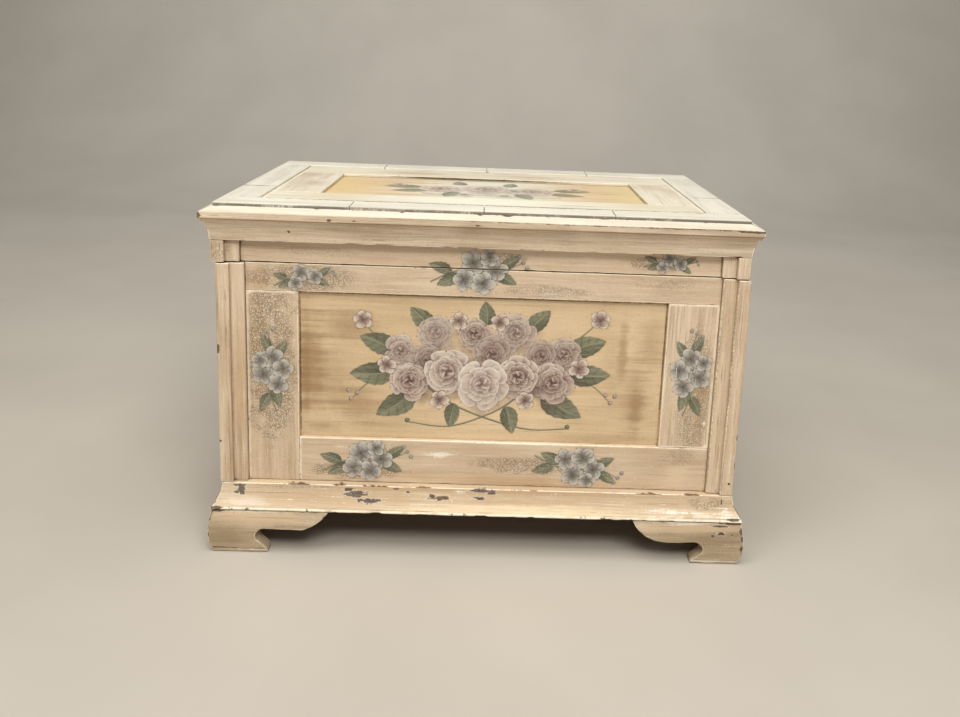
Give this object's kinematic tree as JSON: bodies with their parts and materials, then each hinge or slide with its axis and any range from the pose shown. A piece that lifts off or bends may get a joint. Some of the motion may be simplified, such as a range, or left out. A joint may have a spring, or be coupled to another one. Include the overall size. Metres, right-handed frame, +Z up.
{
  "type": "blanket chest",
  "caption": "Small painted wooden chest with framed panels, a hinged moulded lid on a folding brass stay, and ogee bracket feet.",
  "frame": {"origin": "middle of the bounding box's footprint, on the floor under the feet", "axes": "+X to the right seen from the front, the front faces -Y, +Z up"},
  "size_m": [0.6172, 0.3915, 0.4047],
  "materials": {
    "painted_cream": "aged cream paint, matt, crackled in places",
    "panel_ochre": "ochre glazed paint, matt",
    "border_white": "off-white paint, satin",
    "bare_wood": "unpainted pine, planed",
    "brass": "dull aged brass",
    "screws": "slotted brass wood screws"
  },
  "bodies": {
    "root": {"front_top_rail": "painted_cream", "front_bottom_rail": "painted_cream", "front_left_stile": "painted_cream", "front_right_stile": "painted_cream", "front_panel": "panel_ochre", "left_top_rail": "painted_cream", "left_bottom_rail": "painted_cream", "left_front_stile": "painted_cream", "left_rear_stile": "painted_cream", "left_panel": "panel_ochre", "right_top_rail": "painted_cream", "right_bottom_rail": "painted_cream", "right_front_stile": "painted_cream", "right_rear_stile": "painted_cream", "right_panel": "panel_ochre", "back_top_rail": "bare_wood", "back_bottom_rail": "bare_wood", "back_panel": "bare_wood", "post_front_left": "painted_cream", "post_front_right": "painted_cream", "post_rear_left": "painted_cream", "post_rear_right": "painted_cream", "bottom_board": "bare_wood", "bottom_cleats": "bare_wood", "base_moulding_front": "painted_cream", "base_moulding_left": "painted_cream", "base_moulding_right": "painted_cream", "base_back_board": "bare_wood", "foot_front_left_face": "painted_cream", "foot_front_left_return": "painted_cream", "foot_front_right_face": "painted_cream", "foot_front_right_return": "painted_cream", "foot_rear_left_side": "painted_cream", "foot_rear_right_side": "painted_cream", "foot_glue_blocks": "bare_wood", "hinge_body_leaves": "brass", "hinge_pins": "brass", "body_screws": "screws", "stay_body_plate": "brass"},
    "lid": {"lid_frieze_front": "painted_cream", "lid_frieze_left": "painted_cream", "lid_frieze_right": "painted_cream", "lid_back_board": "bare_wood", "lid_corner_blocks": "painted_cream", "cornice_front": "painted_cream", "cornice_left": "painted_cream", "cornice_right": "painted_cream", "lid_front_rail": "painted_cream", "lid_back_rail": "painted_cream", "lid_left_stile": "painted_cream", "lid_right_stile": "painted_cream", "lid_panel": "panel_ochre", "lid_border_front": "border_white", "lid_border_back": "border_white", "lid_border_sides": "border_white", "hinge_lid_leaves": "brass", "lid_screws": "screws", "stay_lid_plate": "brass"},
    "stay_lower": {"stay_lower_arm": "brass"},
    "stay_upper": {"stay_upper_arm": "brass"}
  },
  "joints": [
    {"name": "lid_hinge", "type": "hinge", "parent": "root", "child": "lid", "pos_m": [0, 0.19305, 0.3382], "axis": [-1, 0, 0], "range_deg": [0, 95]},
    {"name": "stay_lower_pivot", "type": "hinge", "parent": "root", "child": "stay_lower", "pos_m": [0.2623, 0.12805, 0.2274], "axis": [-1, 0, 0], "range_deg": [0, 95]},
    {"name": "stay_elbow", "type": "hinge", "parent": "stay_lower", "child": "stay_upper", "pos_m": [0.2603, 0.00805, 0.2494], "axis": [-1, 0, 0], "range_deg": [-95, 0]}
  ],
  "couplings": [
    {"joint": "stay_lower_pivot", "follows": "lid_hinge", "ratio": 1},
    {"joint": "stay_elbow", "follows": "lid_hinge", "ratio": -1}
  ]
}
